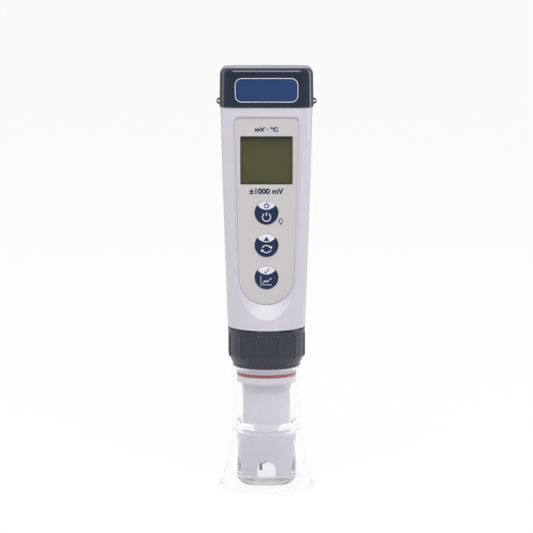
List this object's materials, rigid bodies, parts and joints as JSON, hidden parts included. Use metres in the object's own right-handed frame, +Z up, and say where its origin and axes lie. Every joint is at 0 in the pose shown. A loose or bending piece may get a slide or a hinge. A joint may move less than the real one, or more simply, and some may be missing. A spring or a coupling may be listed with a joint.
{
  "type": "pocket water tester",
  "caption": "Tapered handheld redox and temperature tester with a sunk keypad and display, press keys, pull-off battery cap, locking ring, plug-in probe and clear flared storage cap.",
  "frame": {"origin": "on the table, in the middle of the storage cap's foot", "axes": "+Z up from the probe end to the battery cap, -Y the side with the keypad, +X to the right as the keypad is seen"},
  "size_m": [0.0418, 0.041, 0.178],
  "materials": {
    "white_plastic": "satin moulded",
    "overlay_film": "matt printed film",
    "window_clear": "clear",
    "display_glass": "grey green liquid crystal",
    "black_rubber": "matt",
    "black_plastic": "satin",
    "board_green": "solder mask",
    "switch_metal": "nickel",
    "lead_red": "insulation",
    "contact_metal": "nickel plated",
    "cell_sleeve": "plain printed sleeve",
    "key_rubber": "satin with white symbols",
    "navy_plastic": "gloss",
    "slate_plastic": "satin gloss",
    "probe_plastic": "satin",
    "red_rubber": "satin",
    "sensor_glass": "clear",
    "platinum": "polished",
    "ceramic_white": "porous",
    "gold_pins": "gold plated",
    "clear_plastic": "clear"
  },
  "bodies": {
    "housing_body": {"housing": "white_plastic", "front_overlay": "overlay_film", "display_window": "window_clear", "keypad_gasket": "black_rubber", "display_glass": "display_glass", "display_frame": "black_plastic", "backlight_plate": "white_plastic", "contact_strips": "black_rubber", "circuit_board": "board_green", "key_switches": "switch_metal", "circuit_chips": "black_plastic", "probe_socket": "black_plastic", "sensor_leads": "lead_red", "battery_cradle": "black_plastic", "cradle_contacts": "contact_metal", "cell_front_left": "cell_sleeve", "cell_front_right": "cell_sleeve", "cell_back_left": "cell_sleeve", "cell_back_right": "cell_sleeve"},
    "power_key_body": {"power_key": "key_rubber"},
    "mode_key_body": {"mode_key": "key_rubber"},
    "calibration_key_body": {"calibration_key": "key_rubber"},
    "battery_cap_body": {"battery_cap": "navy_plastic", "battery_cap_seal": "black_rubber", "cap_contact_board": "board_green", "cap_contacts": "contact_metal", "contact_screws": "contact_metal"},
    "probe": {"probe_body": "probe_plastic", "cap_seal_ring": "red_rubber", "glass_stem": "sensor_glass", "platinum_pin": "platinum", "temperature_sensor": "contact_metal", "reference_junction": "ceramic_white", "reference_wire": "platinum", "probe_header": "black_plastic", "header_seal_ring": "black_rubber", "contact_pins": "gold_pins"},
    "locking_ring_body": {"locking_ring": "slate_plastic"},
    "storage_cap_body": {"storage_cap": "clear_plastic"}
  },
  "joints": [
    {"name": "battery_cap_pull", "type": "slide", "parent": "housing_body", "child": "battery_cap_body", "axis": [0, 0, 1], "range_m": [0, 0.02]},
    {"name": "power_key_press", "type": "slide", "parent": "housing_body", "child": "power_key_body", "axis": [0, 0.9992, 0.0401], "range_m": [0, 0.0005], "stiffness_N_per_m": 2000},
    {"name": "mode_key_press", "type": "slide", "parent": "housing_body", "child": "mode_key_body", "axis": [0, 0.9992, 0.0401], "range_m": [0, 0.0005], "stiffness_N_per_m": 2000},
    {"name": "calibration_key_press", "type": "slide", "parent": "housing_body", "child": "calibration_key_body", "axis": [0, 0.9992, 0.0401], "range_m": [0, 0.0005], "stiffness_N_per_m": 2000},
    {"name": "probe_unscrew", "type": "slide", "parent": "housing_body", "child": "probe", "axis": [0, 0, -1], "range_m": [0, 0.006]},
    {"name": "locking_ring_turn", "type": "hinge", "parent": "probe", "child": "locking_ring_body", "pos_m": [0, 0, 0.06], "axis": [0, 0, -1], "range_deg": [0, 720]},
    {"name": "storage_cap_pull", "type": "slide", "parent": "probe", "child": "storage_cap_body", "axis": [0, 0, -1], "range_m": [0, 0.05]}
  ],
  "couplings": [
    {"joint": "probe_unscrew", "follows": "locking_ring_turn", "m_per_rad": 0.000477}
  ]
}
